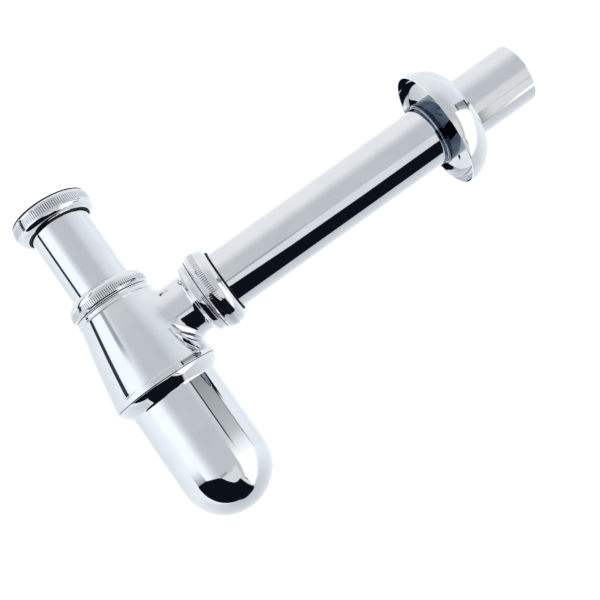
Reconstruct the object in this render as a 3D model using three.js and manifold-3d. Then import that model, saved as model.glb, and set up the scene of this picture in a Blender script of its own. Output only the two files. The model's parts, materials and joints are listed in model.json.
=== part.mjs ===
// Chrome bottle trap for a basin: a telescopic inlet tube, a cast bell-shaped body with a side
// branch, a removable cup, a wall outlet pipe with its flange, and the three nuts and the seals
// that hold them together. Millimetres, +Z up along the inlet, +X along the outlet. The origin is
// the centre of the inlet gasket's top face, where the basin waste sits.

import * as THREE from 'three';
import { mergeVertices } from 'three/addons/utils/BufferGeometryUtils.js';
import Module from 'manifold-3d';

const wasm = await Module();
wasm.setup();

// ---- driving dimensions -------------------------------------------------------------------
const SIDES = 36; // facets round every turned piece
const GAP = 0.3; // clearance between neighbouring pieces
const ARC_STEPS = 5; // facets along a small curve of an outline
const DOME_STEPS = 7; // facets along a dome's quarter curve

const TUBE_R = 16; // 32 mm inlet tube and outlet pipe
const TUBE_WALL = 1.2;
const TUBE_BORE_R = TUBE_R - TUBE_WALL;

const OUTLET_DROP = 77.5; // inlet seat down to the outlet axis
const INLET_TUBE_LENGTH = 123;
const OUTLET_PIPE_START = 39.3; // from the inlet axis
const OUTLET_PIPE_END = 235;

const NUT_R = 21.5; // over the grip band
const NUT_MOUTH_R = 20.8;
const NUT_LIP_R = 17.9; // where the shoulder ends, round the tube
const NUT_LIP_BORE_R = 16.5;
const NUT_LIP = 1.4; // thickness of the inward lip
const NUT_BAND_START = 1.2; // grip band, measured from the nut's mouth
const NUT_BAND = 5;
const SPIGOT_R = 19; // threaded necks that the nuts screw on
const THREAD_PLAY = 0.35; // between a threaded neck and what is screwed on it
const NUT_BORE_R = SPIGOT_R + THREAD_PLAY;
const INLET_NUT_HEIGHT = 10.5;
const BODY_NUT_HEIGHT = 9;
const OUTLET_NUT_HEIGHT = 11.8;

const GASKET = 1.8; // thickness
const TUBE_FLANGE = 1.2;
const SLIP_RING = 0.8;
const SEAT_R = 18.9; // outer radius of gasket, tube flange and rings

const SEAL_HEAD = 1.6;
const SEAL_CONE = 3.3;
const SEAL_CONE_R = 17.9;
const SEAL_TIP_R = 17.2;
const SEAL_PLAY = 0.35; // between a cone seal and its tapered seat

const COLLAR_R = 21.4; // ring of the casting under the body nut
const COLLAR_TOP = 22.9; // heights from here on are measured from the outlet axis
const COLLAR_BOTTOM = 19.3;
const BELL_TOP_R = 20.9;
const BELL_BOTTOM_R = 28.6;
const BELL_BOTTOM = -21;
const RIM_R = 28.9;
const RIM_TOP = -23.3; // the rim is a short straight edge
const RIM_BOTTOM = -25.5;
const NECK_BORE_R = 16.7;
const SPIGOT_LENGTH = 4.6;

const BRANCH_R = 15.9;
const BRANCH_BORE_R = 14.3;
const BRANCH_START = 10; // inside the bell
const BRANCH_ROOT_END = 30; // where the flare from the bell has run out
const BRANCH_ROOT_LENGTH = 7;
const BRANCH_ROOT_FLARE = 2; // extra radius where the root meets the bell
const BRANCH_COLLAR_R = 19.3; // thick collar behind the nut, with a tapered shoulder
const BRANCH_SHOULDER_START = 35.6;
const BRANCH_COLLAR_START = 37.6;
const BRANCH_RING_R = 20.2; // thin ring that the nut is screwed against
const BRANCH_RING_START = 40.7;
const BRANCH_RING_END = 41.6;
const BRANCH_SPIGOT_LENGTH = 7.3;
const PIPE_SOCKET_PLAY = 0.4; // between the outlet pipe and the branch's socket

const DIP_TUBE_R = 17.4;
const DIP_TUBE_BORE_R = 16.4;
const DIP_TUBE_TOP = 19;
const DIP_TUBE_BOTTOM = -78;
const CAVITY_TOP = 13;
const CAVITY_TOP_R = 20.8;
const CAVITY_R = 23.4;
const CAVITY_WIDEST = -8;
const CAVITY_MOUTH = -21; // below this the cavity narrows to the cup spigot's bore
const CAVITY_MOUTH_R = 20.8;

const CUP_THREAD_R = 22.45;
const CUP_THREAD_BOTTOM = -33;
const CUP_R = 24;
const CUP_WALL = 1.2;
const CUP_COLLAR_R = 29;
const CUP_COLLAR_FOOT = [28.7, -27.2]; // [radius, height] where the collar turns inwards
const CUP_TAPER_FOOT = [24.7, -30.9]; // end of the taper under the collar
const CUP_SIDE_TOP = -32.6; // from here down the cup's side is straight
const CUP_DOME_CENTRE = -75.2;
const CUP_SEAL = 1.2;
const CUP_SEAL_INNER_R = 23.2;
const CUP_SEAL_OUTER_R = 25.8;

const FLANGE_RIM_R = 31.85;
const FLANGE_NECK_R = 17.1;
const FLANGE_COVE = 5; // radius between the inner neck and the dome's floor
const FLANGE_COVE_DROP = 0.6; // how far the cove lies under the dome's deepest point
const FLANGE_COVE_END = 110; // degrees on the cove and on the dome's inside, where the two meet
const FLANGE_INSIDE_END = 64;
const FLANGE_BORE_R = TUBE_R + GAP;
const FLANGE_NECK_START = 181;
const FLANGE_RIM_X = 183.85;
const FLANGE_CROWN_X = 200.8;
const FLANGE_WALL = 0.9;

// ---- materials ----------------------------------------------------------------------------
const chrome = (name) => new THREE.MeshStandardMaterial({
  name, color: 0xd7dbe0, metalness: 1, roughness: 0.08 });
const rubber = (name) => new THREE.MeshStandardMaterial({
  name, color: 0x202124, metalness: 0, roughness: 0.75 });
const nylon = (name) => new THREE.MeshStandardMaterial({
  name, color: 0xe8e6df, metalness: 0, roughness: 0.5 });

// ---- helpers ------------------------------------------------------------------------------
// Outlines are closed loops of [radius, height] pairs, and are turned into solids of revolution.

function isClockwise(outline) {
  let twiceArea = 0;
  outline.forEach(([r, h], i) => {
    const [nextR, nextH] = outline[(i + 1) % outline.length];
    twiceArea += r * nextH - nextR * h;
  });
  return twiceArea < 0;
}

// Turns an outline round the Y axis; an outline that touches the axis stays open there.
function turned(outline) {
  const ordered = isClockwise(outline) ? [...outline].reverse() : outline;
  const onAxis = ordered.filter(([r]) => r === 0).length === 2;
  let loop = [...ordered, ordered[0]];
  if (onAxis) {
    const start = ordered.findIndex(([r], i) => {
      const previous = ordered[(i + ordered.length - 1) % ordered.length];
      return r === 0 && previous[0] === 0;
    });
    loop = [...ordered.slice(start), ...ordered.slice(0, start)];
  }
  return new THREE.LatheGeometry(loop.map(([r, h]) => new THREE.Vector2(r, h)), SIDES);
}

const upright = (outline) => turned(outline).rotateX(Math.PI / 2); // heights run along +Z
const sideways = (outline) => turned(outline).rotateZ(-Math.PI / 2); // heights run along +X

// Points of an elliptical arc about [r, h], from angle a to angle b in degrees.
function arc([r, h], radiusR, radiusH, a, b, steps) {
  return Array.from({ length: steps + 1 }, (_, i) => {
    const t = THREE.MathUtils.degToRad(a + (b - a) * i / steps);
    return [r + radiusR * Math.cos(t), h + radiusH * Math.sin(t)];
  });
}

const moved = (outline, offset) => outline.map(([r, h]) => [r, h + offset]);
const flipped = (outline) => outline.map(([r, h]) => [r, -h]);
const ring = (inner, outer, low, high) => [[outer, low], [outer, high], [inner, high], [inner, low]];

function solid(geometry) {
  const bare = geometry.clone();
  bare.deleteAttribute('normal');
  bare.deleteAttribute('uv');
  const merged = mergeVertices(bare, 1e-4);
  return new wasm.Manifold(new wasm.Mesh({
    numProp: 3,
    vertProperties: new Float32Array(merged.attributes.position.array),
    triVerts: new Uint32Array(merged.index.array),
  }));
}

function geometryOf(manifold) {
  const mesh = manifold.getMesh();
  const geometry = new THREE.BufferGeometry();
  geometry.setAttribute('position', new THREE.BufferAttribute(mesh.vertProperties, 3));
  geometry.setIndex(new THREE.BufferAttribute(mesh.triVerts, 1));
  geometry.computeVertexNormals();
  return geometry;
}

const trap = new THREE.Group();

function add(name, geometry, material) {
  const mesh = new THREE.Mesh(geometry, material(name));
  mesh.name = name;
  trap.add(mesh);
}

// ---- nuts, seals and rings ----------------------------------------------------------------
// A nut stands on its mouth at height 0 and ends in an inward lip round the tube.
function nutOutline(height) {
  const bandEnd = NUT_BAND_START + NUT_BAND;
  const shoulder = arc([NUT_LIP_R, bandEnd], NUT_R - NUT_LIP_R, height - bandEnd, 0, 90, ARC_STEPS);
  return [
    [NUT_BORE_R, 0],
    [NUT_MOUTH_R, 0],
    [NUT_R, NUT_BAND_START],
    ...shoulder,
    [NUT_LIP_BORE_R, height],
    [NUT_LIP_BORE_R, height - NUT_LIP],
    [NUT_BORE_R, height - NUT_LIP],
  ];
}

// A cone seal has its head's top at height 0 and its tip below.
function coneSealOutline() {
  const bore = TUBE_R + GAP;
  return [
    [bore, 0],
    [SPIGOT_R - GAP, 0],
    [SPIGOT_R - GAP, -SEAL_HEAD],
    [SEAL_CONE_R, -SEAL_HEAD],
    [SEAL_TIP_R, -SEAL_HEAD - SEAL_CONE],
    [bore, -SEAL_HEAD - SEAL_CONE],
  ];
}

const frictionRing = ring(NUT_LIP_BORE_R, SEAT_R, 0, SLIP_RING);

// Where a nut's ring and seal lie, given the height of the nut's lip end.
const ringUnder = (nutEnd) => nutEnd - NUT_LIP - GAP - SLIP_RING;
const sealUnder = (nutEnd) => ringUnder(nutEnd) - GAP;

// ---- inlet --------------------------------------------------------------------------------
const flangeTop = -GASKET - GAP;
const flangeBottom = flangeTop - TUBE_FLANGE;
const slipRingBottom = flangeBottom - GAP - SLIP_RING;
const inletLipEnd = slipRingBottom - GAP - NUT_LIP;

function addInlet() {
  const tube = [
    [TUBE_R, flangeTop - INLET_TUBE_LENGTH],
    [TUBE_R, flangeBottom],
    [SEAT_R, flangeBottom],
    [SEAT_R, flangeTop],
    [TUBE_BORE_R, flangeTop],
    [TUBE_BORE_R, flangeTop - INLET_TUBE_LENGTH],
  ];
  const nut = moved(flipped(nutOutline(INLET_NUT_HEIGHT)), inletLipEnd + INLET_NUT_HEIGHT);
  add('inlet_tube', upright(tube), chrome);
  add('inlet_gasket', upright(ring(TUBE_BORE_R + GAP, SEAT_R, -GASKET, 0)), rubber);
  add('inlet_slip_ring', upright(moved(frictionRing, slipRingBottom)), nylon);
  add('inlet_union_nut', upright(nut), chrome);
}

// ---- body ---------------------------------------------------------------------------------
const spigotTop = COLLAR_TOP + SPIGOT_LENGTH;
const bodyNutMouth = COLLAR_TOP + GAP;
const bodyNutEnd = bodyNutMouth + BODY_NUT_HEIGHT;
const spigotEnd = BRANCH_RING_END + BRANCH_SPIGOT_LENGTH;
const outletNutMouth = BRANCH_RING_END + GAP;
const outletNutEnd = outletNutMouth + OUTLET_NUT_HEIGHT;
const REACH = 10; // how far a cutting solid runs past the face that it opens

// Outside of the casting, without the branch.
function bellOutline() {
  return [
    [0, CUP_THREAD_BOTTOM],
    [CUP_THREAD_R, CUP_THREAD_BOTTOM],
    [CUP_THREAD_R, RIM_BOTTOM],
    [RIM_R, RIM_BOTTOM],
    [RIM_R, RIM_TOP],
    [BELL_BOTTOM_R, BELL_BOTTOM],
    [BELL_TOP_R, COLLAR_BOTTOM],
    [COLLAR_R, COLLAR_BOTTOM],
    [COLLAR_R, COLLAR_TOP],
    [SPIGOT_R, COLLAR_TOP],
    [SPIGOT_R, spigotTop],
    [0, spigotTop],
  ];
}

// Tapered seat of a cone seal, from just past its tip to the spigot's end, then clear of it.
function sealSeat(end, boreR) {
  const shelf = end - SEAL_CONE - GAP;
  return [
    [boreR, shelf],
    [SEAL_TIP_R + SEAL_PLAY, shelf],
    [SEAL_CONE_R + SEAL_PLAY, end],
    [SEAL_CONE_R + SEAL_PLAY, end + REACH],
  ];
}

// Everything that is hollow about the inlet axis.
function cavityOutline() {
  const socketR = DIP_TUBE_R + GAP;
  return [
    [0, CUP_THREAD_BOTTOM - REACH],
    [CAVITY_MOUTH_R, CUP_THREAD_BOTTOM - REACH],
    [CAVITY_MOUTH_R, CAVITY_MOUTH],
    [CAVITY_R, CAVITY_WIDEST],
    [CAVITY_TOP_R, CAVITY_TOP],
    [socketR, CAVITY_TOP],
    [socketR, DIP_TUBE_TOP + GAP],
    [NECK_BORE_R, DIP_TUBE_TOP + GAP],
    ...sealSeat(spigotTop, NECK_BORE_R),
    [0, spigotTop + REACH],
  ];
}

function branchOutline() {
  const rootR = BRANCH_R + BRANCH_ROOT_FLARE;
  const root = arc([rootR, BRANCH_ROOT_END], BRANCH_ROOT_FLARE, BRANCH_ROOT_LENGTH, 270, 180, ARC_STEPS);
  return [
    [0, BRANCH_START],
    [rootR, BRANCH_START],
    ...root,
    [BRANCH_R, BRANCH_SHOULDER_START],
    [BRANCH_COLLAR_R, BRANCH_COLLAR_START],
    [BRANCH_COLLAR_R, BRANCH_RING_START],
    [BRANCH_RING_R, BRANCH_RING_START],
    [BRANCH_RING_R, BRANCH_RING_END],
    [SPIGOT_R, BRANCH_RING_END],
    [SPIGOT_R, spigotEnd],
    [0, spigotEnd],
  ];
}

function branchBoreOutline() {
  const socketR = TUBE_R + PIPE_SOCKET_PLAY;
  return [
    [0, DIP_TUBE_R],
    [BRANCH_BORE_R, DIP_TUBE_R],
    [BRANCH_BORE_R, OUTLET_PIPE_START - GAP],
    [socketR, OUTLET_PIPE_START - GAP],
    ...sealSeat(spigotEnd, socketR),
    [0, spigotEnd + REACH],
  ];
}

function addBody() {
  const level = -OUTLET_DROP;
  const bell = solid(upright(bellOutline()));
  const branch = solid(sideways(branchOutline()));
  const cavity = solid(upright(cavityOutline()));
  const branchBore = solid(sideways(branchBoreOutline()));
  const casting = bell.add(branch).subtract(cavity).subtract(branchBore);
  const dipTube = ring(DIP_TUBE_BORE_R, DIP_TUBE_R, DIP_TUBE_BOTTOM, DIP_TUBE_TOP);
  const nut = moved(nutOutline(BODY_NUT_HEIGHT), bodyNutMouth);
  const seal = moved(coneSealOutline(), sealUnder(bodyNutEnd));
  const nutRing = moved(frictionRing, ringUnder(bodyNutEnd));
  add('trap_body', geometryOf(casting).translate(0, 0, level), chrome);
  add('dip_tube', upright(moved(dipTube, level)), chrome);
  add('body_nut', upright(moved(nut, level)), chrome);
  add('body_nut_ring', upright(moved(nutRing, level)), nylon);
  add('body_cone_seal', upright(moved(seal, level)), rubber);
}

// ---- cup ----------------------------------------------------------------------------------
const cupMouth = RIM_BOTTOM - GAP;
const cupSealTop = cupMouth; // the seal lies flush in a recess of the cup's mouth
const cupSealFloor = cupSealTop - CUP_SEAL - GAP;

function addCup() {
  const inner = CUP_R - CUP_WALL;
  const centre = [0, CUP_DOME_CENTRE];
  // The cosine of the lowest point is not exactly zero, so the axis points are written out.
  const outside = arc(centre, CUP_R, CUP_R, 0, -90, DOME_STEPS).slice(0, -1);
  const inside = arc(centre, inner, inner, -90, 0, DOME_STEPS).slice(1);
  const cup = [
    [CUP_COLLAR_R, cupMouth],
    CUP_COLLAR_FOOT,
    CUP_TAPER_FOOT,
    [CUP_R, CUP_SIDE_TOP],
    ...outside,
    [0, CUP_DOME_CENTRE - CUP_R],
    [0, CUP_DOME_CENTRE - inner],
    ...inside,
    [inner, cupSealFloor],
    [CUP_SEAL_OUTER_R + GAP, cupSealFloor],
    [CUP_SEAL_OUTER_R + GAP, cupMouth],
  ];
  const seal = ring(CUP_SEAL_INNER_R, CUP_SEAL_OUTER_R, cupSealTop - CUP_SEAL, cupSealTop);
  add('cup', upright(moved(cup, -OUTLET_DROP)), chrome);
  add('cup_seal', upright(moved(seal, -OUTLET_DROP)), rubber);
}

// ---- outlet -------------------------------------------------------------------------------
function flangeOutline() {
  const depth = FLANGE_CROWN_X - FLANGE_RIM_X;
  const width = FLANGE_RIM_R - FLANGE_NECK_R;
  const centre = [FLANGE_NECK_R, FLANGE_RIM_X];
  const floor = FLANGE_CROWN_X - FLANGE_WALL;
  const coveCentre = [FLANGE_NECK_R + FLANGE_COVE, floor - FLANGE_COVE - FLANGE_COVE_DROP];
  return [
    ...arc(centre, width, depth, 0, 90, DOME_STEPS),
    [FLANGE_BORE_R, FLANGE_CROWN_X],
    [FLANGE_BORE_R, FLANGE_NECK_START],
    [FLANGE_NECK_R, FLANGE_NECK_START],
    ...arc(coveCentre, FLANGE_COVE, FLANGE_COVE, 180, FLANGE_COVE_END, ARC_STEPS),
    ...arc(centre, width - FLANGE_WALL, depth - FLANGE_WALL, FLANGE_INSIDE_END, 0, ARC_STEPS),
  ];
}

function addOutlet() {
  const lowered = (geometry) => geometry.translate(0, 0, -OUTLET_DROP);
  const pipe = ring(TUBE_BORE_R, TUBE_R, OUTLET_PIPE_START, OUTLET_PIPE_END);
  const nut = moved(nutOutline(OUTLET_NUT_HEIGHT), outletNutMouth);
  const seal = moved(coneSealOutline(), sealUnder(outletNutEnd));
  const nutRing = moved(frictionRing, ringUnder(outletNutEnd));
  add('outlet_pipe', lowered(sideways(pipe)), chrome);
  add('outlet_nut', lowered(sideways(nut)), chrome);
  add('outlet_nut_ring', lowered(sideways(nutRing)), nylon);
  add('outlet_cone_seal', lowered(sideways(seal)), rubber);
  add('wall_flange', lowered(sideways(flangeOutline())), chrome);
}

addInlet();
addBody();
addCup();
addOutlet();

export default trap;
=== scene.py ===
"""Chrome bottle trap: the looks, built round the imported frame.

Every turned piece is an outline of (radius, height) points in millimetres, turned round the inlet
axis (heights along +Z) or the outlet axis (heights along +X). The casting is the bell and the side
branch blended with a round fillet.
"""

import json
import math

import bmesh
import bpy
import numpy as np
from mathutils import Matrix, Vector


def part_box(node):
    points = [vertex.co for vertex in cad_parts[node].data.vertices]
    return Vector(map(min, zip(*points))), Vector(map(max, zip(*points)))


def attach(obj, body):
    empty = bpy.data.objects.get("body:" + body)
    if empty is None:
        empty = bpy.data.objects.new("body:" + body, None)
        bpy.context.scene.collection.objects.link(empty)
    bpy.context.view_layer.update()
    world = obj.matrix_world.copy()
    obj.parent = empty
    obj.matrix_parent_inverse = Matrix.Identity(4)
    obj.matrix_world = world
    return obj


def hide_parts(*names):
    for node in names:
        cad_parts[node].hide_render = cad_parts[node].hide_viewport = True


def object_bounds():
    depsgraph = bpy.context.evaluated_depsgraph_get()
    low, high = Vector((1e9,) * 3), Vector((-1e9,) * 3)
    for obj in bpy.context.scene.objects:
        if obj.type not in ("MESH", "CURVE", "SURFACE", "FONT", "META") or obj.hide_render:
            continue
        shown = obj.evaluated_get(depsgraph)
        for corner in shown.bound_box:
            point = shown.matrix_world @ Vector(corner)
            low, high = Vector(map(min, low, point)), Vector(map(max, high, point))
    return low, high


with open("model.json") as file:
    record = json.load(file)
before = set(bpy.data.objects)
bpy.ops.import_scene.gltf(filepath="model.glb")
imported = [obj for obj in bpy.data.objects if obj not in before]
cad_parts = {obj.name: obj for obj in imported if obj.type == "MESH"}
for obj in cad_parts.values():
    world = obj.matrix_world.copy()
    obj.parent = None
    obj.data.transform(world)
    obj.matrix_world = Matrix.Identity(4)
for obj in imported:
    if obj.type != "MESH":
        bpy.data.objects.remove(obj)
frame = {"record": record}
cad_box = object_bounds()
record = frame["record"]

MM = 0.001
SIDES = 256  # facets round a plain turned piece
TINY = 1e-6


# ---- sizes, from the frame ------------------------------------------------------------------
def low_mm(node):
    return np.array(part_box(node)[0]) / MM


def high_mm(node):
    return np.array(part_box(node)[1]) / MM


TUBE_R = high_mm("outlet_pipe")[1]
TUBE_WALL = 1.2
TUBE_BORE_R = TUBE_R - TUBE_WALL
OUTLET_Z = (low_mm("outlet_pipe")[2] + high_mm("outlet_pipe")[2]) / 2
PIPE_START = low_mm("outlet_pipe")[0]
PIPE_END = high_mm("outlet_pipe")[0]

NUT_R = high_mm("body_nut")[0]
NUT_PLAIN_R = NUT_R - 0.12
NUT_BORE_R = 19.35
NUT_LIP_BORE_R = 16.5
NUT_LIP = 1.4
NUT_BEVEL = 0.9  # bevel round a nut's mouth
NUT_OUTSIDE_R = NUT_BORE_R + 1.2  # whatever lies further out is the outside of a nut
SPIGOT_R = 19.0
SEAL_HEAD = 1.6
SEAL_CONE_R = 17.9
SEAL_TIP_R = 17.2

KNURL_TEETH = 120
KNURL_DEPTH = 0.5
KNURL_EDGE = 0.3  # run-out at each end of the teeth
KNURL_FLANK = 2.6  # how steeply a groove's sides rise to the flat top of a tooth
KNURL_SUNK = 0.8  # share of the depth that lies below the nut's plain surface
KNURL_STEPS = 8  # facets per tooth
THREAD_PITCH = 1.5
THREAD_DEPTH = 0.7
THREAD_RUN_OUT = 0.5
NUT_THREAD_START = 0.5
CUP_THREAD_PITCH = 2.0

# Heights of the casting and the cup, measured from the outlet axis.
COLLAR_R = 21.4
COLLAR_TOP = 22.9
COLLAR_BOTTOM = 19.3
SPIGOT_TOP = 27.5
BELL_TOP_R = 20.9
BELL_BOTTOM_R = 28.6
BELL_BOTTOM = -21.0
RIM_R = high_mm("trap_body")[1]
RIM_BOTTOM = -25.5
NECK_BORE_R = 16.7
BRANCH_R = 15.9
BRANCH_BORE_R = 14.3
BRANCH_FILLET = 3.2
BRANCH_COLLAR_R = 19.3
SHOULDER_START = 35.6
BRANCH_COLLAR_START = 37.6
RING_R = 20.2
RING_START = 40.7
RING_END = 41.6
BRANCH_END = high_mm("trap_body")[0]
SOCKET_R = TUBE_R + 0.4
CAVITY_R = 23.4
CAVITY_TOP = 13.0
CAVITY_TOP_R = 20.8
CAVITY_MOUTH_R = 20.8
CUP_THREAD_R = 22.45
CUP_THREAD_BOTTOM = low_mm("trap_body")[2] - OUTLET_Z
DIP_TUBE_R = high_mm("dip_tube")[0]
DIP_TUBE_BORE_R = 16.4
DIP_TUBE_TOP = high_mm("dip_tube")[2] - OUTLET_Z
DIP_TUBE_BOTTOM = low_mm("dip_tube")[2] - OUTLET_Z

CUP_R = 24.0
CUP_BORE_R = 22.8
CUP_COLLAR_R = high_mm("cup")[0]
CUP_MOUTH = high_mm("cup")[2] - OUTLET_Z
CUP_BOTTOM = low_mm("cup")[2] - OUTLET_Z
CUP_SIDE_TOP = -32.6
CUP_TAPER = 46  # slope of the collar's underside, in degrees
CUP_EDGE_TILT = 23  # slope of the collar just under its sharp edge
CUP_BULGE = 7.8  # radius of the curve between the two
CUP_HOLLOW = 1.8  # radius of the hollow where the collar meets the cup's side
SEAL_RECESS_R = 26.1
SEAL_RECESS_FLOOR = CUP_MOUTH - 1.5


# ---- outlines -------------------------------------------------------------------------------
def rounded(points, closed=True, steps=6):
    """An outline whose points may carry a corner radius as a third number."""
    count = len(points)
    rows = []
    for i, point in enumerate(points):
        corner = np.array(point[:2], float)
        radius = point[2] if len(point) > 2 else 0
        if radius == 0 or (not closed and i in (0, count - 1)):
            rows.append(corner)
            continue
        before = np.array(points[i - 1][:2], float) - corner
        after = np.array(points[(i + 1) % count][:2], float) - corner
        before /= np.linalg.norm(before)
        after /= np.linalg.norm(after)
        half = math.acos(np.clip(before @ after, -1, 1)) / 2
        middle = (before + after) / np.linalg.norm(before + after)
        centre = corner + middle * radius / math.sin(half)
        start = corner + before * radius / math.tan(half) - centre
        end = corner + after * radius / math.tan(half) - centre
        sweep = math.pi - 2 * half
        for k in range(steps + 1):
            t = k / steps
            blend = math.sin((1 - t) * sweep) * start + math.sin(t * sweep) * end
            rows.append(centre + blend / math.sin(sweep))
    return np.array(rows)


def arc(centre, radius_r, radius_h, start, end, steps):
    """Points of an elliptical arc, angles in degrees from the +radius direction."""
    angles = np.radians(np.linspace(start, end, steps + 1))
    r = centre[0] + radius_r * np.cos(angles)
    h = centre[1] + radius_h * np.sin(angles)
    return [(float(a), float(b)) for a, b in zip(r, h)]


def refined(rows, low, high, step, inside=None):
    """Adds rows between heights low and high, so that a relief has something to move."""
    out = []
    for i, row in enumerate(rows):
        following = rows[(i + 1) % len(rows)]
        out.append(row)
        span = np.linalg.norm(following - row)
        within = min(row[1], following[1]) > low - 1e-6 and max(row[1], following[1]) < high + 1e-6
        if within and span > step and (inside is None or inside(row) and inside(following)):
            count = int(math.ceil(span / step))
            out += [row + (following - row) * k / count for k in range(1, count)]
    return np.array(out)


# ---- turned pieces --------------------------------------------------------------------------
def turned(name, rows, along="z", closed=True, sides=SIDES, relief=None, finish=None):
    """Turns an outline round its axis. relief(r, h, angle) moves the surface outwards; finish(r, h)
    says which of the piece's materials the surface has there, all round or side by side."""
    rows = np.asarray(rows, float)
    angles = np.linspace(0, 2 * math.pi, sides, endpoint=False)
    r = np.repeat(rows[:, :1], sides, axis=1)
    h = np.repeat(rows[:, 1:], sides, axis=1)
    a = np.repeat(angles[None, :], len(rows), axis=0)
    if relief:
        r = r + relief(r, h, a)
    if along == "z":
        points = np.stack([r * np.cos(a), r * np.sin(a), h], -1)
    else:
        points = np.stack([h, r * np.cos(a), r * np.sin(a) + OUTLET_Z], -1)
    points = points.reshape(-1, 3) * MM

    loop = len(rows) if closed else len(rows) - 1
    faces, finishes = [], []
    for i in range(loop):
        j = (i + 1) % len(rows)
        middle = (rows[i] + rows[j]) / 2
        finishes.append(np.broadcast_to(finish(*middle) if finish else 0, sides))
        for k in range(sides):
            n = (k + 1) % sides
            faces.append((i * sides + k, i * sides + n, j * sides + n, j * sides + k))
    mesh = bpy.data.meshes.new(name)
    mesh.from_pydata(points.tolist(), [], faces)
    mesh.polygons.foreach_set("material_index", np.concatenate(finishes).astype(np.int32))
    piece = bpy.data.objects.new(name, mesh)
    bpy.context.scene.collection.objects.link(piece)
    clean(mesh)
    mark_corners(mesh)
    return piece


def clean(mesh, merge=1e-8):
    """Welds points that lie together, such as those on the axis, and turns the faces outwards."""
    work = bmesh.new()
    work.from_mesh(mesh)
    bmesh.ops.remove_doubles(work, verts=work.verts, dist=merge)
    bmesh.ops.recalc_face_normals(work, faces=work.faces)
    work.to_mesh(mesh)
    work.free()


def mark_corners(mesh, limit=math.radians(32)):
    """Smooth shading with crisp edges where the surface turns sharply."""
    work = bmesh.new()
    work.from_mesh(mesh)
    for edge in work.edges:
        edge.smooth = len(edge.link_faces) == 2 and edge.calc_face_angle(0) < limit
    for face in work.faces:
        face.smooth = True
    work.to_mesh(mesh)
    work.free()


def weigh_normals(piece):
    modifier = piece.modifiers.new("even_shading", "WEIGHTED_NORMAL")
    modifier.keep_sharp = True
    modifier.weight = 60


def ramp(value, low, high):
    t = np.clip((value - low) / (high - low), 0, 1)
    return t * t * (3 - 2 * t)


def knurl(low, high):
    """A relief of straight teeth between two heights, on the outside of a nut only."""
    def relief(r, h, a):
        tooth = np.minimum(KNURL_FLANK * np.abs(np.sin(a * KNURL_TEETH / 2)), 1.0)
        band = ramp(h, low, low + KNURL_EDGE) * (1 - ramp(h, high - KNURL_EDGE, high))
        return np.where(r > NUT_OUTSIDE_R, KNURL_DEPTH * band * (tooth - KNURL_SUNK), 0.0)
    return relief


def thread(low, high, pitch, depth, on, outwards):
    """A helical relief: ridges cut into a spigot, or grooves cut into a bore."""
    def relief(r, h, a):
        phase = (h / pitch - a / (2 * math.pi)) % 1.0
        ridge = 1 - np.abs(2 * phase - 1)
        fade = ramp(h, low, low + THREAD_RUN_OUT) * (1 - ramp(h, high - THREAD_RUN_OUT, high))
        return np.where(np.abs(r - on) < 1e-3, outwards * depth * fade * ridge, 0.0)
    return relief


def together(*reliefs):
    return lambda r, h, a: sum(relief(r, h, a) for relief in reliefs)


# ---- materials ------------------------------------------------------------------------------
def new_material(name):
    material = bpy.data.materials.new(name)
    material.use_nodes = True
    return material, material.node_tree, material.node_tree.nodes["Principled BSDF"]


def noise(tree, scale, detail=3.0, rough=0.5, stretch=None):
    """Noise over the piece's own place, so that it stays on the piece. scale is per metre."""
    place = tree.nodes.new("ShaderNodeTexCoord").outputs["Object"]
    if stretch:
        mapping = tree.nodes.new("ShaderNodeMapping")
        mapping.inputs["Scale"].default_value = stretch
        tree.links.new(place, mapping.inputs["Vector"])
        place = mapping.outputs["Vector"]
    texture = tree.nodes.new("ShaderNodeTexNoise")
    texture.inputs["Scale"].default_value = scale
    texture.inputs["Detail"].default_value = detail
    texture.inputs["Roughness"].default_value = rough
    tree.links.new(place, texture.inputs["Vector"])
    return texture.outputs["Fac"]


def spread(tree, value, low, high, to_low, to_high):
    node = tree.nodes.new("ShaderNodeMapRange")
    node.inputs["From Min"].default_value = low
    node.inputs["From Max"].default_value = high
    node.inputs["To Min"].default_value = to_low
    node.inputs["To Max"].default_value = to_high
    tree.links.new(value, node.inputs["Value"])
    return node.outputs["Result"]


def mixed(tree, factor, a, b):
    node = tree.nodes.new("ShaderNodeMix")
    node.data_type = "RGBA"
    tree.links.new(factor, node.inputs["Factor"])
    for socket, colour in ((node.inputs["A"], a), (node.inputs["B"], b)):
        if isinstance(colour, tuple):
            socket.default_value = (*colour, 1)
        else:
            tree.links.new(colour, socket)
    return node.outputs["Result"]


def bump(tree, shader, layers):
    """layers is a list of (height socket, depth in metres)."""
    normal = None
    for height, depth in layers:
        node = tree.nodes.new("ShaderNodeBump")
        node.inputs["Strength"].default_value = 1.0
        node.inputs["Distance"].default_value = depth
        tree.links.new(height, node.inputs["Height"])
        if normal:
            tree.links.new(normal, node.inputs["Normal"])
        normal = node.outputs["Normal"]
    tree.links.new(normal, shader.inputs["Normal"])


def chrome(name, waviness, wave_scale, tints=((0.845, 0.86, 0.885), (0.885, 0.895, 0.91))):
    """Plate: faint tint changes, wiping haze, hairline scratches and the polisher's waves. Bright by
    default; the darker tints passed in for some copies are painted shade.
    """
    material, tree, shader = new_material(name)
    shader.inputs["Metallic"].default_value = 1.0
    tint = spread(tree, noise(tree, 70, 2.0), 0.35, 0.65, 0.0, 1.0)
    colour = mixed(tree, tint, *tints)
    tree.links.new(colour, shader.inputs["Base Color"])
    haze = spread(tree, noise(tree, 160, 4.0, 0.6), 0.4, 0.75, 0.018, 0.05)
    tree.links.new(haze, shader.inputs["Roughness"])
    scratches = noise(tree, 900, 2.0, 0.5, stretch=(1.0, 6.0, 0.7))
    waves = noise(tree, wave_scale, 1.0, 0.3)
    bump(tree, shader, [(waves, waviness), (scratches, 0.0000012)])
    return material


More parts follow.
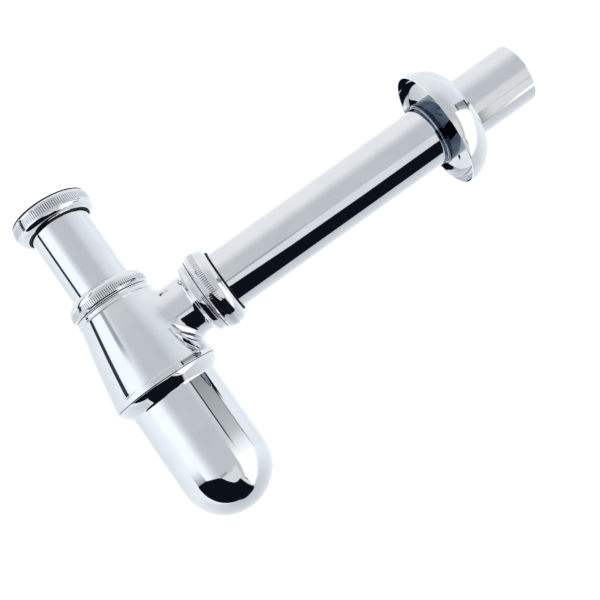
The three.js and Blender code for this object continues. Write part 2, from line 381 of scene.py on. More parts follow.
def bare_brass():
    material, tree, shader = new_material("bare_brass")
    shader.inputs["Metallic"].default_value = 1.0
    tarnish = spread(tree, noise(tree, 140, 5.0, 0.65), 0.35, 0.7, 0.0, 1.0)
    colour = mixed(tree, tarnish, (0.72, 0.55, 0.30), (0.46, 0.33, 0.17))
    tree.links.new(colour, shader.inputs["Base Color"])
    tree.links.new(spread(tree, tarnish, 0, 1, 0.24, 0.46), shader.inputs["Roughness"])
    bump(tree, shader, [(noise(tree, 1400, 3.0, 0.6, stretch=(1, 1, 0.15)), 0.000012)])
    return material


def rubber():
    material, tree, shader = new_material("seal_rubber")
    bloom = spread(tree, noise(tree, 260, 5.0, 0.6), 0.45, 0.8, 0.0, 1.0)
    tree.links.new(mixed(tree, bloom, (0.003, 0.003, 0.004), (0.010, 0.010, 0.011)),
                   shader.inputs["Base Color"])
    tree.links.new(spread(tree, bloom, 0, 1, 0.48, 0.72), shader.inputs["Roughness"])
    shader.inputs["Specular IOR Level"].default_value = 0.15
    bump(tree, shader, [(noise(tree, 2600, 3.0, 0.6), 0.00002)])
    return material


def nylon():
    material, tree, shader = new_material("ring_nylon")
    cloud = spread(tree, noise(tree, 220, 3.0), 0.35, 0.65, 0.0, 1.0)
    tree.links.new(mixed(tree, cloud, (0.70, 0.69, 0.63), (0.79, 0.78, 0.73)),
                   shader.inputs["Base Color"])
    tree.links.new(spread(tree, cloud, 0, 1, 0.34, 0.48), shader.inputs["Roughness"])
    shader.inputs["Subsurface Weight"].default_value = 0.15
    shader.inputs["Subsurface Radius"].default_value = (0.001, 0.001, 0.0008)
    bump(tree, shader, [(noise(tree, 1800, 2.0), 0.00001)])
    return material


CHROME_TUBE = chrome("chrome_tube", 0.0000022, 110)
CHROME_NUT = chrome("chrome_nut", 0.0000022, 160)
CHROME_CASTING = chrome("chrome_casting", 0.000004, 120)
CHROME_FLANGE = chrome("chrome_flange", 0.000004, 140)
# Darker chrome for the bottoms of the knurl grooves: painted shade.
CHROME_GROOVE_PAINTED_SHADE = chrome("chrome_groove_painted_shade", 0.0000022, 160, ((0.16, 0.17, 0.19), (0.30, 0.31, 0.33)))
# Darker, bluish chrome for the inside of the flange's neck: painted shade in its hollow.
CHROME_NECK_PAINTED_SHADE = chrome("chrome_neck_painted_shade", 0.000004, 140, ((0.22, 0.25, 0.31), (0.36, 0.40, 0.47)))
BRASS = bare_brass()
# Near-black plate for the threads on the casting's spigots: painted shade in the seams under the
# nuts.
THREADS_PAINTED_SHADE = chrome("threads_painted_shade", 0.000006, 300, ((0.045, 0.042, 0.04), (0.09, 0.083, 0.075)))
# Real rubber for the seals and washers; on the nuts' beads and mouth lips its black is painted shade.
RUBBER_AND_PAINTED_SHADE = rubber()
NYLON = nylon()


# ---- how a piece joins the frame -------------------------------------------------------------
def install(piece, node, *materials):
    """The piece stands for a CAD node: it rides on the node's body and takes its finish."""
    body = next(b for b, nodes in record["behaviour"]["bodies"].items() if node in nodes)
    for material in materials:
        piece.data.materials.append(material)
    if node != "trap_body":
        weigh_normals(piece)
    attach(piece, body)
    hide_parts(node)
    return piece


# ---- nuts, rings and seals -------------------------------------------------------------------
def nut(name, node, along, knurl_band, lip_r, bead_r, bead, mouth_lip=0.0):
    """A knurled slip nut with a black bead round the tube, and perhaps a black lip on its mouth; the
    black of both is painted shade of the gaps there.
    Lengths are measured from the mouth, and direction is +1 where they run towards rising heights."""
    axis = 2 if along == "z" else 0
    low, high = low_mm(node)[axis], high_mm(node)[axis]
    length = high - low
    direction = -1 if node == "inlet_union_nut" else 1
    mouth = high if direction < 0 else low
    start, stop = knurl_band
    chrome_end = length - bead
    lip_start = length - NUT_LIP
    shoulder = arc((lip_r, stop + 0.15), NUT_PLAIN_R - lip_r, chrome_end - stop - 0.15, 0, 88, 16)
    mouth_ring = [(NUT_BORE_R + 0.1, 0.0, 0.1)]
    if mouth_lip:
        mouth_ring += [(NUT_OUTSIDE_R, 0.0, 0.2), (NUT_OUTSIDE_R, mouth_lip)]
    outline = rounded([
        *mouth_ring,
        (NUT_PLAIN_R - NUT_BEVEL, mouth_lip, 0.1),
        (NUT_PLAIN_R, mouth_lip + NUT_BEVEL, 0.2),
        (NUT_PLAIN_R, start),
        (NUT_PLAIN_R, start + KNURL_EDGE),
        (NUT_PLAIN_R, stop - KNURL_EDGE),
        (NUT_PLAIN_R, stop),
        *shoulder,
        (bead_r, chrome_end),
        (bead_r, length, min(0.3, bead / 2)),
        (NUT_LIP_BORE_R, length, 0.1),
        (NUT_LIP_BORE_R, chrome_end),
        (NUT_LIP_BORE_R, lip_start, 0.1),
        (NUT_BORE_R, lip_start),
        (NUT_BORE_R, NUT_THREAD_START),
    ])
    outline = refined(outline, 0.4, lip_start, 0.16,
                      inside=lambda row: abs(row[0] - NUT_BORE_R) < TINY)
    reliefs = together(
        knurl(start, stop),
        thread(NUT_THREAD_START, lip_start, THREAD_PITCH, THREAD_DEPTH, NUT_BORE_R, 1))

    def placed_relief(r, h, a):
        return reliefs(r, (h - mouth) * direction, a * direction)

    def finish(r, h):
        depth = (h - mouth) * direction
        on_bead = depth > chrome_end - TINY
        on_mouth_lip = depth < mouth_lip - TINY and r < NUT_OUTSIDE_R + 0.1
        # The bead and the mouth lip take the black rubber: painted shade of the gaps round the tube
        # and at the mouth.
        if on_bead or on_mouth_lip:
            return 2
        if r > NUT_OUTSIDE_R and start < depth < stop:
            return grooves
        return int(abs(r - NUT_BORE_R) < TINY)

    # The two facets that meet in the bottom of each groove carry the darker chrome: painted shade in
    # the grooves.
    facet = np.arange(KNURL_TEETH * KNURL_STEPS) % KNURL_STEPS
    grooves = 3 * np.isin(facet, (0, KNURL_STEPS - 1))
    outline[:, 1] = mouth + direction * outline[:, 1]
    piece = turned(name, outline, along, sides=KNURL_TEETH * KNURL_STEPS, relief=placed_relief,
                   finish=finish)
    return install(piece, node, CHROME_NUT, BRASS, RUBBER_AND_PAINTED_SHADE, CHROME_GROOVE_PAINTED_SHADE)


def plain_ring(name, node, along, material, corner=0.15):
    """A flat ring or washer that fills its CAD node's box."""
    low, high = low_mm(node), high_mm(node)
    across, axis = (0, 2) if along == "z" else (1, 0)
    outer = high[across]
    inner = RING_BORES[node]
    outline = rounded([
        (outer, low[axis], corner), (outer, high[axis], corner),
        (inner, high[axis], corner), (inner, low[axis], corner)])
    return install(turned(name, outline, along), node, material)


RING_BORES = {
    "inlet_gasket": TUBE_BORE_R + 0.3,
    "inlet_slip_ring": NUT_LIP_BORE_R,
    "body_nut_ring": NUT_LIP_BORE_R,
    "outlet_nut_ring": NUT_LIP_BORE_R,
    "cup_seal": 23.2,
}


def cone_seal(name, node, along):
    """A rubber seal: a flat head, a cone below it and two sealing ribs in its bore."""
    axis = 2 if along == "z" else 0
    top, tip = high_mm(node)[axis], low_mm(node)[axis]
    bore = TUBE_R + 0.25
    outline = rounded([
        (bore, top, 0.2),
        (SPIGOT_R - 0.3, top, 0.3),
        (SPIGOT_R - 0.3, top - SEAL_HEAD, 0.2),
        (SEAL_CONE_R, top - SEAL_HEAD, 0.1),
        (SEAL_TIP_R, tip, 0.3),
        (bore, tip, 0.2),
        (bore, top - 3.9),
        (bore - 0.15, top - 3.6, 0.1),
        (bore, top - 3.3),
        (bore, top - 1.6),
        (bore - 0.15, top - 1.3, 0.1),
        (bore, top - 1.0),
    ])
    return install(turned(name, outline, along), node, RUBBER_AND_PAINTED_SHADE)


# ---- inlet ----------------------------------------------------------------------------------
def make_inlet():
    low, high = low_mm("inlet_tube")[2], high_mm("inlet_tube")[2]
    flange_r = high_mm("inlet_tube")[0]
    flange_bottom = high - 1.2
    tube = rounded([
        (TUBE_R, low, 0.2),
        (TUBE_R, flange_bottom, 0.5),
        (flange_r, flange_bottom, 0.3),
        (flange_r, high, 0.3),
        (TUBE_BORE_R, high, 0.4),
        (TUBE_BORE_R, low, 0.2),
    ])
    piece = turned("inlet_tube_flanged", tube, finish=lambda r, h: r < TUBE_BORE_R + 0.1)
    install(piece, "inlet_tube", CHROME_TUBE, BRASS)
    plain_ring("inlet_gasket_washer", "inlet_gasket", "z", RUBBER_AND_PAINTED_SHADE, 0.25)
    plain_ring("inlet_slip_washer", "inlet_slip_ring", "z", NYLON)
    nut("inlet_union_nut_knurled", "inlet_union_nut", "z", (2.7, 6.7), lip_r=18.1, bead_r=17.3,
        bead=0.35, mouth_lip=0.9)


# ---- casting --------------------------------------------------------------------------------
def bell_distance(p):
    """Signed distance to the bell's cone, in millimetres about the outlet level."""
    slope = (BELL_BOTTOM_R - BELL_TOP_R) / (COLLAR_BOTTOM - BELL_BOTTOM)
    radius = BELL_BOTTOM_R - slope * (p[:, 2] - BELL_BOTTOM)
    height = (p[:, 2] - BELL_BOTTOM) / (COLLAR_BOTTOM - BELL_BOTTOM)
    swell = 0.4 * np.sin(np.pi * np.clip(height, 0, 1))
    return (np.hypot(p[:, 0], p[:, 1]) - radius - swell) / math.hypot(1, slope)


def branch_distance(p):
    flare = 0.5 * ramp(p[:, 0], SHOULDER_START - 2.5, SHOULDER_START + 0.6) ** 2
    return np.hypot(p[:, 1], p[:, 2]) - BRANCH_R - flare


def casting_distance(p):
    """Bell and branch joined by a round fillet."""
    a = bell_distance(p)
    b = branch_distance(p)
    b = np.where(p[:, 0] > 0, b, 1e3)
    near_a = np.maximum(BRANCH_FILLET - a, 0)
    near_b = np.maximum(BRANCH_FILLET - b, 0)
    return np.maximum(BRANCH_FILLET, np.minimum(a, b)) - np.hypot(near_a, near_b)


def casting_normal(p, step=1e-4):
    """Direction in which the distance grows fastest."""
    slopes = []
    for axis in range(3):
        shift = np.zeros(3)
        shift[axis] = step
        slopes.append(casting_distance(p + shift) - casting_distance(p - shift))
    n = np.stack(slopes, -1)
    return n / np.maximum(np.linalg.norm(n, axis=1, keepdims=True), 1e-12)


def closed_solid(name, outline, along="z", sides=SIDES):
    """A helper solid whose outline starts and ends on the axis."""
    return turned(name, outline, along, closed=False, sides=sides)


def vertex_array(mesh):
    co = np.zeros(len(mesh.vertices) * 3)
    mesh.vertices.foreach_get("co", co)
    return co.reshape(-1, 3)


def apply_modifiers(piece):
    """Replaces the mesh by what its modifiers make of it."""
    graph = bpy.context.evaluated_depsgraph_get()
    made = bpy.data.meshes.new_from_object(piece.evaluated_get(graph))
    piece.modifiers.clear()
    piece.data = made


def cut(piece, tool, operation):
    modifier = piece.modifiers.new("cut", "BOOLEAN")
    modifier.operation = operation
    modifier.object = tool
    modifier.solver = "EXACT"
    apply_modifiers(piece)
    bpy.data.objects.remove(tool)


def join(target, *others):
    """Joins meshes into one piece without the operator's need for a context."""
    work = bmesh.new()
    for piece in (target, *others):
        work.from_mesh(piece.data)
    work.to_mesh(target.data)
    work.free()
    for piece in others:
        bpy.data.objects.remove(piece)


def blended_shell():
    """The smooth outside of bell and branch, down to where the rings and threads take over."""
    z = OUTLET_Z
    top, bottom = COLLAR_BOTTOM + 1.4, BELL_BOTTOM - 1.6
    branch_end = SHOULDER_START + 1.4
    top_r = BELL_TOP_R - 0.2
    bell = closed_solid("bell_blank", [
        (0, z + bottom), (BELL_BOTTOM_R + 0.3, z + bottom), (top_r, z + top), (0, z + top)])
    branch = closed_solid("branch_blank", [
        (0, 2.0), (BRANCH_R, 2.0), (BRANCH_R, branch_end), (0, branch_end)], "x")
    join(bell, branch)
    remesh = bell.modifiers.new("even_mesh", "REMESH")
    remesh.mode = "VOXEL"
    remesh.voxel_size = 0.55 * MM
    apply_modifiers(bell)
    co = vertex_array(bell.data) / MM
    p = co - [0, 0, z]
    edge = 0.5
    free = (p[:, 2] < top - edge) & (p[:, 2] > bottom + edge) & (p[:, 0] < branch_end - edge)
    for _ in range(12):
        q = p[free]
        p[free] = q - casting_distance(q)[:, None] * casting_normal(q)
    bell.data.vertices.foreach_set("co", ((p + [0, 0, z]) * MM).ravel())
    return bell


def cavity_tool():
    """All that is hollow about the inlet axis."""
    z = OUTLET_Z
    return closed_solid("cavity_tool", [
        (0, z - 45), (CAVITY_MOUTH_R, z - 45), (CAVITY_MOUTH_R, z - 20.5), (CAVITY_R, z - 8),
        (CAVITY_TOP_R, z + CAVITY_TOP), (DIP_TUBE_R + 0.3, z + CAVITY_TOP),
        (DIP_TUBE_R + 0.3, z + DIP_TUBE_TOP + 0.3), (NECK_BORE_R, z + DIP_TUBE_TOP + 0.3),
        (NECK_BORE_R, z + 60), (0, z + 60)], sides=128)


def bore_tool():
    return closed_solid("bore_tool", [
        (0, DIP_TUBE_R), (BRANCH_BORE_R, DIP_TUBE_R), (BRANCH_BORE_R, 60), (0, 60)], "x", sides=128)


def neck_ring():
    """Collar and threaded spigot for the body nut, with the cone seal's tapered seat."""
    z = OUTLET_Z
    seat = SEAL_CONE_R + 0.35
    hollow_r = COLLAR_R - 0.6
    rows = rounded([
        (NECK_BORE_R, z + COLLAR_BOTTOM - 0.9),
        (BELL_TOP_R - 0.8, z + COLLAR_BOTTOM - 0.9),
        (BELL_TOP_R - 0.8, z + COLLAR_BOTTOM - 0.05),
        (COLLAR_R - 0.1, z + COLLAR_BOTTOM + 0.05, 0.3),
        (COLLAR_R - 0.1, z + COLLAR_BOTTOM + 0.95, 0.35),
        (hollow_r, z + COLLAR_BOTTOM + 1.25, 0.3),
        (hollow_r, z + COLLAR_TOP - 1.0, 0.3),
        (COLLAR_R - 0.3, z + COLLAR_TOP - 0.7, 0.2),
        (COLLAR_R - 0.3, z + COLLAR_TOP - 0.3, 0.2),
        (COLLAR_R - 1.0, z + COLLAR_TOP - 0.1, 0.1),
        (COLLAR_R - 1.0, z + COLLAR_TOP - 0.6),
        (SPIGOT_R, z + COLLAR_TOP - 0.6, 0.1),
        (SPIGOT_R, z + SPIGOT_TOP, 0.25),
        (seat, z + SPIGOT_TOP, 0.15),
        (SEAL_TIP_R + 0.35, z + SPIGOT_TOP - 3.6),
        (NECK_BORE_R, z + SPIGOT_TOP - 3.6),
    ])
    rows = refined(rows, z + COLLAR_TOP, z + SPIGOT_TOP, 0.15,
                   inside=lambda row: abs(row[0] - SPIGOT_R) < TINY)
    relief = thread(z + COLLAR_TOP, z + SPIGOT_TOP, THREAD_PITCH, THREAD_DEPTH, SPIGOT_R, -1)

    # The thread and the collar's inner step carry the near-black plate: painted shade in the seam
    # under the body nut.
    def is_thread(r, h):
        return SPIGOT_R - 0.1 < r < COLLAR_R - 0.9 and h > z + COLLAR_TOP - 0.7

    return turned("neck_ring", rows, relief=relief, finish=is_thread)


def rim_ring():
    """The bell's bottom rim and the threaded spigot that the cup screws on."""
    z = OUTLET_Z
    rows = rounded([
        (CAVITY_MOUTH_R, z + BELL_BOTTOM - 0.4),
        (BELL_BOTTOM_R - 0.25, z + BELL_BOTTOM - 0.4),
        (RIM_R, z + BELL_BOTTOM - 1.5, 1.2),
        (RIM_R, z + RIM_BOTTOM, 0.25),
        (CUP_THREAD_R, z + RIM_BOTTOM, 0.1),
        (CUP_THREAD_R, z + CUP_THREAD_BOTTOM, 0.3),
        (CAVITY_MOUTH_R, z + CUP_THREAD_BOTTOM, 0.3),
    ])
    rows = refined(rows, z + CUP_THREAD_BOTTOM, z + RIM_BOTTOM, 0.2,
                   inside=lambda row: abs(row[0] - CUP_THREAD_R) < TINY)
    relief = thread(z + CUP_THREAD_BOTTOM, z + RIM_BOTTOM, CUP_THREAD_PITCH, 0.8, CUP_THREAD_R, -1)
    return turned("rim_ring", rows, relief=relief)


def branch_ring():
    """The ring behind the outlet nut, its spigot, and the socket that the pipe slides into."""
    socket_end = PIPE_START - 0.3
    rows = rounded([
        (BRANCH_BORE_R, SHOULDER_START - 0.2),
        (BRANCH_R + 0.3, SHOULDER_START - 0.2),
        (BRANCH_R + 0.8, SHOULDER_START + 0.1, 0.2),
        (BRANCH_COLLAR_R - 0.1, BRANCH_COLLAR_START - 0.4, 1.2),
        (BRANCH_COLLAR_R, RING_START - 0.7, 0.3),
        (BRANCH_COLLAR_R - 0.5, RING_START - 0.45, 0.15),
        (BRANCH_COLLAR_R - 0.5, RING_START, 0.1),
        (RING_R, RING_START + 0.1, 0.25),
        (RING_R, RING_END - 0.1, 0.25),
        (SPIGOT_R, RING_END, 0.1),
        (SPIGOT_R, BRANCH_END, 0.25),
        (SEAL_CONE_R + 0.35, BRANCH_END, 0.15),
        (SEAL_TIP_R + 0.35, BRANCH_END - 3.6),
        (SOCKET_R, BRANCH_END - 3.6, 0.1),
        (SOCKET_R, socket_end),
        (BRANCH_BORE_R, socket_end, 0.3),
    ])
    rows = refined(rows, RING_END, BRANCH_END, 0.15,
                   inside=lambda row: abs(row[0] - SPIGOT_R) < TINY)
    relief = thread(RING_END, BRANCH_END, THREAD_PITCH, THREAD_DEPTH, SPIGOT_R, -1)

    # The thread and the ring's end face carry the near-black plate: painted shade under the outlet
    # nut.
    def is_thread(r, h):
        return SPIGOT_R - 0.1 < r < RING_R - 0.3 and h > RING_END - 0.05

    return turned("branch_ring", rows, "x", relief=relief, finish=is_thread)


def make_casting():
    shell = blended_shell()
    cut(shell, cavity_tool(), "DIFFERENCE")
    cut(shell, bore_tool(), "DIFFERENCE")
    join(shell, neck_ring(), rim_ring(), branch_ring())
    shell.name = "trap_body_casting"
    mesh = shell.data
    mark_corners(mesh)
    p = vertex_array(mesh) / MM - [0, 0, OUTLET_Z]
    on_surface = np.abs(casting_distance(p)) < 2e-3
    normals = np.where(on_surface[:, None], casting_normal(p), 0.0)
    mesh.normals_split_custom_set_from_vertices(normals.tolist())
    return install(shell, "trap_body", CHROME_CASTING, THREADS_PAINTED_SHADE)


def make_body_parts():
    z = OUTLET_Z
    dip = rounded([
        (DIP_TUBE_R, z + DIP_TUBE_BOTTOM, 0.3), (DIP_TUBE_R, z + DIP_TUBE_TOP, 0.2),
        (DIP_TUBE_BORE_R, z + DIP_TUBE_TOP, 0.2), (DIP_TUBE_BORE_R, z + DIP_TUBE_BOTTOM, 0.3)])
    install(turned("dip_tube_sleeve", dip), "dip_tube", BRASS)
    nut("body_nut_knurled", "body_nut", "z", (1.1, 4.4), lip_r=18.0, bead_r=17.4, bead=0.35)
    plain_ring("body_nut_washer", "body_nut_ring", "z", NYLON)
    cone_seal("body_cone_seal_ring", "body_cone_seal", "z")


# ---- cup ------------------------------------------------------------------------------------
def make_cup():
    z = OUTLET_Z
    dome = z + CUP_BOTTOM + CUP_R
    inner_top = z + CUP_THREAD_BOTTOM - 1.5
    # Under its sharp edge the collar curves in to a taper, which ends in a small hollow.
    edge_r = CUP_COLLAR_R - 0.05
    tilt = math.radians(CUP_EDGE_TILT)
    bulge_centre = (edge_r - CUP_BULGE * math.cos(tilt),
                    z + CUP_MOUTH - 0.15 + CUP_BULGE * math.sin(tilt))
    hollow_centre = (CUP_R + CUP_HOLLOW, z + CUP_SIDE_TOP)
    flare = [
        *arc(hollow_centre, -CUP_HOLLOW, CUP_HOLLOW, 0, CUP_TAPER, 12),
        *arc(bulge_centre, CUP_BULGE, CUP_BULGE, -CUP_TAPER, -CUP_EDGE_TILT, 14),
    ]
    outline = rounded([
        (0, dome - CUP_R),
        *arc((0, dome), CUP_R, CUP_R, -88.5, 0, 60),
        *flare,
        (edge_r, z + CUP_MOUTH, 0.1),
        (SEAL_RECESS_R, z + CUP_MOUTH, 0.1),
        (SEAL_RECESS_R, z + SEAL_RECESS_FLOOR, 0.1),
        (CUP_BORE_R, z + SEAL_RECESS_FLOOR, 0.2),
        (CUP_BORE_R, inner_top),
        *arc((0, dome), CUP_BORE_R, CUP_BORE_R, 0, -88.5, 30),
        (0, dome - CUP_BORE_R),
    ], closed=False)
    outline = refined(outline, inner_top, z + SEAL_RECESS_FLOOR, 0.2,
                      inside=lambda row: abs(row[0] - CUP_BORE_R) < TINY)
    relief = thread(inner_top, z + SEAL_RECESS_FLOOR, CUP_THREAD_PITCH, 0.6, CUP_BORE_R, 1)

    def is_inside(r, h):
        if h > dome:
            return r < CUP_R - 0.5 and h < z + SEAL_RECESS_FLOOR
        return math.hypot(r, h - dome) < CUP_R - 0.5

    piece = turned("cup_shell", outline, closed=False, relief=relief, finish=is_inside)
    install(piece, "cup", CHROME_CASTING, BRASS)
    plain_ring("cup_seal_washer", "cup_seal", "z", RUBBER_AND_PAINTED_SHADE, 0.2)


# ---- outlet ---------------------------------------------------------------------------------
def make_outlet():
    pipe = rounded([
        (TUBE_R, PIPE_START, 0.25), (TUBE_R, PIPE_END, 0.35),
        (TUBE_BORE_R, PIPE_END, 0.35), (TUBE_BORE_R, PIPE_START, 0.25)])
    piece = turned("outlet_pipe_tube", pipe, "x", finish=lambda r, h: r < TUBE_BORE_R + 0.1)
    install(piece, "outlet_pipe", CHROME_TUBE, BRASS)
    nut("outlet_nut_knurled", "outlet_nut", "x", (2.7, 5.7), lip_r=17.8, bead_r=17.3, bead=0.85)
    plain_ring("outlet_nut_washer", "outlet_nut_ring", "x", NYLON)
    cone_seal("outlet_cone_seal_ring", "outlet_cone_seal", "x")


def make_flange():
    low, high = low_mm("wall_flange"), high_mm("wall_flange")
    rim_r = high[1]
    crown = high[0]
    neck_start = low[0]
    rim = 183.85
    wall = 0.9
    neck_r = 17.1
    cove_r = 5.0  # curve from the neck to the inside of the dome
    cove_gap = 0.6
    bore = TUBE_R + 0.3
    width, depth = rim_r - neck_r, crown - rim
    outside = arc((neck_r, rim), width, depth, 0, 86, 40)
    inside = arc((neck_r, rim), width - wall, depth - wall, 66, 2, 26)
    cove_centre = (neck_r + cove_r, crown - wall - cove_r - cove_gap)
    cove = arc(cove_centre, cove_r, cove_r, 180, 112, 12)
    outline = rounded([
        *outside,
        (bore + 0.6, crown),
        (bore, crown - 0.3, 0.2),
        (bore, neck_start, 0.25),
        (neck_r - 0.1, neck_start, 0.3),
        *cove,
        *inside,
        (rim_r - wall, rim, 0.3),
    ])
    # The inside of the neck carries the darker chrome: painted shade.
    def is_neck(r, h):
        return r > bore + 0.1 and h < crown - wall - 0.2 and r < neck_r + 4.0

    piece = turned("wall_flange_shell", outline, "x", sides=320, finish=is_neck)
    install(piece, "wall_flange", CHROME_FLANGE, CHROME_NECK_PAINTED_SHADE)


# ---- studio ---------------------------------------------------------------------------------
class Sky:
    """A soft studio painted on the world by direction: azimuth is measured from -Y towards +X."""

    def __init__(self, tree):
        self.tree = tree
        x, y, z = self.direction()
        self.x, self.y = x, y
        back = self.maths("MULTIPLY", y, -1)
        self.azimuth = self.maths("MULTIPLY", self.maths("ARCTAN2", x, back), 180 / math.pi)
        self.elevation = self.maths("MULTIPLY", self.maths("ARCSINE", z), 180 / math.pi)

    def direction(self):
        place = self.tree.nodes.new("ShaderNodeTexCoord")
        split = self.tree.nodes.new("ShaderNodeSeparateXYZ")
        self.tree.links.new(place.outputs["Generated"], split.inputs[0])
        return split.outputs

    def maths(self, operation, a, b=None):
        node = self.tree.nodes.new("ShaderNodeMath")
        node.operation = operation
        for socket, value in zip(node.inputs, (a, b)):
            if isinstance(value, (int, float)):
                socket.default_value = value
            elif value is not None:
                self.tree.links.new(value, socket)
        return node.outputs[0]

    def rise(self, value, low, high):
        """0 below low, 1 above high."""
        node = self.tree.nodes.new("ShaderNodeMapRange")
        node.interpolation_type = "SMOOTHSTEP"
        self.tree.links.new(value, node.inputs["Value"])
        for name, limit in (("From Min", low), ("From Max", high)):
            if isinstance(limit, (int, float)):
                node.inputs[name].default_value = limit
            else:
                self.tree.links.new(limit, node.inputs[name])
        return node.outputs["Result"]

    def window(self, value, low, high, soft):
        up = self.rise(value, low - soft, low + soft)
        down = self.maths("SUBTRACT", 1, self.rise(value, high - soft, high + soft))
        return self.maths("MULTIPLY", up, down)

    def panel(self, azimuths, elevations, soft=2.0, soft_up=None):
        across = self.window(self.azimuth, *azimuths, soft)
        upwards = self.window(self.elevation, *elevations, soft_up or soft)
        return self.maths("MULTIPLY", across, upwards)

    def lay(self, under, colour, mask):
        return mixed(self.tree, mask, under, colour)

    def share(self, value, low, high):
        """0 at low, 1 at high, straight between."""
        return spread(self.tree, value, low, high, 0, 1)

    def levels(self, value, low, high, stops):
        """Grey that follows a list of (value, level)."""
        node = self.tree.nodes.new("ShaderNodeValToRGB")
        ramp_stops = node.color_ramp.elements
        while len(ramp_stops) < len(stops):
            ramp_stops.new(1.0)
        for stop, (place, level) in zip(ramp_stops, stops):
            stop.position = (place - low) / (high - low)
            stop.color = (*grey(level, 0.045), 1)
        self.tree.links.new(self.share(value, low, high), node.inputs[0])
        return node.outputs["Color"]

    def curve(self, value, low, high, points):
        """A number from -90 to 90 that follows a list of (value, number)."""
        node = self.tree.nodes.new("ShaderNodeFloatCurve")
        line = node.mapping.curves[0].points
        while len(line) < len(points):
            line.new(1, 1)
        for point, (place, number) in zip(line, points):
            point.location = ((place - low) / (high - low), number / 180 + 0.5)
            point.handle_type = "VECTOR"
        node.mapping.update()
        self.tree.links.new(self.share(value, low, high), node.inputs["Value"])
        return spread(self.tree, node.outputs[0], 0, 1, -90, 90)


def grey(level, blue=0.0):
    """A light's colour whose mirror image on chrome shows as this 0-255 grey level."""
    plate = 0.86
    linear = ((level / 255 + 0.055) / 1.055) ** 2.4 / plate
    return (linear * (1 - blue), linear, linear * (1 + blue))


WALL_LEVELS = [  # grey levels round the room at the height of the trap, by azimuth
    (-180, 247), (-150, 248), (-128, 223), (-107, 228), (-92, 233), (-70, 240), (-60, 251),
    (-37, 249), (-28, 226), (-19, 205), (-11, 193), (-3, 192), (38, 190), (46, 199), (63, 214),
    (80, 220), (96, 226), (110, 233), (136, 228), (160, 243), (180, 247)]
BOARD_LEVELS = [(-10, 200), (-1, 190), (1, 175), (5, 140), (9, 150), (20, 160)]  # by elevation
TABLE_LEVELS = [(-90, 190), (-75, 194), (-50, 208), (-20, 230), (0, 246)]  # by elevation
DARK_EDGE = [  # upper edge of the dark room under the tent: azimuth, elevation
    (-180, -81), (-130, -80), (-104, -78), (-97, -74), (-90, -65), (-85, -52), (-80, -36),
    (-76, -16), (-74, -2), (-48, -2), (-40, -5), (-31, -8), (-20, -12), (-12, -18), (-7, -29),
    (-2, -36), (4, -43), (14, -46), (22, -44), (32, -44), (45, -49), (56, -59), (70, -67),
    (86, -69), (100, -70), (112, -71), (120, -73), (130, -76), (150, -80), (180, -81)]


DARK_ROOM = (0.004, 0.006, 0.011)


def paint_room(sky):
    """The light walls with what stands before them, as one colour by direction."""
    az, el = sky.azimuth, sky.elevation
    wall = sky.levels(az, -180, 180, WALL_LEVELS)
    room = sky.lay(wall, grey(226, 0.02), sky.rise(el, 25, 70))
    # Dark post beside the left-hand window light, and the shadow over that light's right edge.
    room = sky.lay(room, grey(50, 0.3), sky.panel((-82, -71.5), (9, 60), 1.2, 4.0))
    room = sky.lay(room, grey(160, 0.1), sky.panel((-37, -26), (28, 60), 3.0))
    # Grey board low on the right, with dark joints along both sides.
    board = sky.levels(el, -10, 20, BOARD_LEVELS)
    room = sky.lay(room, board, sky.panel((55, 97), (-1, 9), 1.0, 1.0))
    room = sky.lay(room, grey(45, 0.2), sky.panel((54, 57.5), (-1, 8), 0.8, 1.2))
    room = sky.lay(room, grey(110, 0.1), sky.panel((97, 99.5), (-2, 9), 0.6, 1.0))
    room = sky.lay(room, grey(20, 0.2), sky.panel((98, 108), (2.2, 9), 0.6, 0.6))
    # Soft dark fold across the middle, and the white card low on the right.
    room = sky.lay(room, grey(150, 0.05), sky.panel((-14, 4), (-17, -12), 3.0, 3.0))
    room = sky.lay(room, grey(254), sky.panel((42, 98), (-70, -1.5), 3.0, 1.0))
    # Light under the fold, and a patch beyond the end of the pipe.
    room = sky.lay(room, grey(216, 0.04), sky.panel((-16, 24), (-60, -18), 4.0, 2.5))
    return sky.lay(room, grey(214), sky.panel((20, 34), (-46, -12), 4.0, 6.0))


def paint_table(sky, room):
    """The table behind the trap, below the horizon."""
    table = sky.levels(sky.elevation, -90, 0, TABLE_LEVELS)
    below_horizon = sky.maths("SUBTRACT", 1, sky.rise(sky.elevation, -20, 0))
    behind = sky.maths("MULTIPLY", sky.rise(sky.y, -0.05, 0.1), below_horizon)
    return sky.lay(room, table, behind)


def paint_dark_room(sky, room):
    """The dark room under the tent's near edge, but for a slit of light far out on the right."""
    az, el = sky.azimuth, sky.elevation
    edge = sky.curve(az, -180, 180, DARK_EDGE)
    below = sky.maths("SUBTRACT", 1, sky.rise(sky.maths("SUBTRACT", el, edge), -1.2, 1.2))
    room = sky.lay(room, DARK_ROOM, below)
    slit = sky.maths("MULTIPLY", sky.window(sky.x, 0.335, 0.43, 0.02), sky.window(az, 22, 97, 4))
    return sky.lay(room, grey(215), sky.maths("MULTIPLY", slit, below))


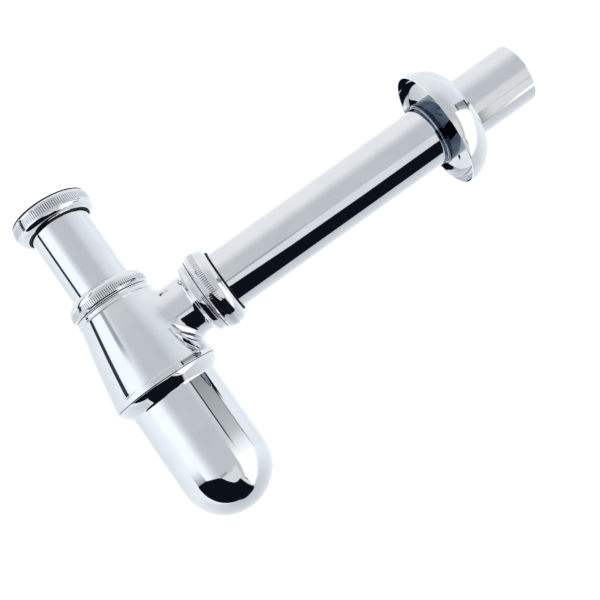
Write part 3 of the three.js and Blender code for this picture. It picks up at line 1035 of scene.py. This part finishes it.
def make_world():
    """The painted studio shows in mirrors only. All else is lit by an even white."""
    world = bpy.data.worlds.new("studio")
    bpy.context.scene.world = world
    world.use_nodes = True
    tree = world.node_tree
    tree.nodes.clear()
    sky = Sky(tree)
    room = paint_dark_room(sky, paint_table(sky, paint_room(sky)))

    mirror = tree.nodes.new("ShaderNodeBackground")
    tree.links.new(room, mirror.inputs["Color"])
    soft = tree.nodes.new("ShaderNodeBackground")
    soft.inputs["Color"].default_value = (1, 1, 1, 1)
    soft.inputs["Strength"].default_value = 1.25
    ray = tree.nodes.new("ShaderNodeLightPath")
    choose = tree.nodes.new("ShaderNodeMixShader")
    tree.links.new(ray.outputs["Is Glossy Ray"], choose.inputs["Fac"])
    tree.links.new(soft.outputs["Background"], choose.inputs[1])
    tree.links.new(mirror.outputs["Background"], choose.inputs[2])
    out = tree.nodes.new("ShaderNodeOutputWorld")
    tree.links.new(choose.outputs[0], out.inputs["Surface"])


def make_floor():
    """A plain pale floor some way below the hanging trap."""
    size, drop = 4.0, 0.15
    work = bmesh.new()
    bmesh.ops.create_circle(work, cap_ends=True, segments=96, radius=size)
    mesh = bpy.data.meshes.new("floor")
    work.to_mesh(mesh)
    work.free()
    floor = bpy.data.objects.new("floor", mesh)
    floor.location = (0.1, 0, cad_box[0].z - drop)
    bpy.context.scene.collection.objects.link(floor)
    material, tree, shader = new_material("floor_white")
    pale = spread(tree, noise(tree, 3.0), 0.3, 0.7, 0.0, 1.0)
    tree.links.new(mixed(tree, pale, (0.86, 0.86, 0.865), (0.88, 0.88, 0.88)),
                   shader.inputs["Base Color"])
    shader.inputs["Roughness"].default_value = 0.9
    mesh.materials.append(material)
    floor.visible_glossy = False


def make_camera():
    """The photograph's view: nearly square on to both tubes, rolled so that the trap lies across
    the frame."""
    data = bpy.data.cameras.new("camera")
    data.sensor_width = 36.0
    data.lens = 45.75
    camera = bpy.data.objects.new("camera", data)
    bpy.context.scene.collection.objects.link(camera)
    turned_right, rise, roll = math.radians(1.27), math.radians(4.61), math.radians(35.71)
    offset = Vector((69.76, -382.4, -60.95)) * MM  # from the point where the two axes cross
    look = Vector((math.sin(turned_right) * math.cos(rise),
                   math.cos(turned_right) * math.cos(rise), math.sin(rise)))
    turn = look.to_track_quat("-Z", "Y").to_matrix().to_4x4() @ Matrix.Rotation(-roll, 4, "Z")
    camera.matrix_world = Matrix.Translation(offset + Vector((0, 0, OUTLET_Z * MM))) @ turn
    bpy.context.scene.camera = camera


make_camera()
make_world()
make_floor()
make_inlet()
make_casting()
make_body_parts()
make_cup()
make_outlet()
make_flange()
bpy.context.scene.view_settings.view_transform = "Standard"
bpy.context.scene.view_settings.look = "None"
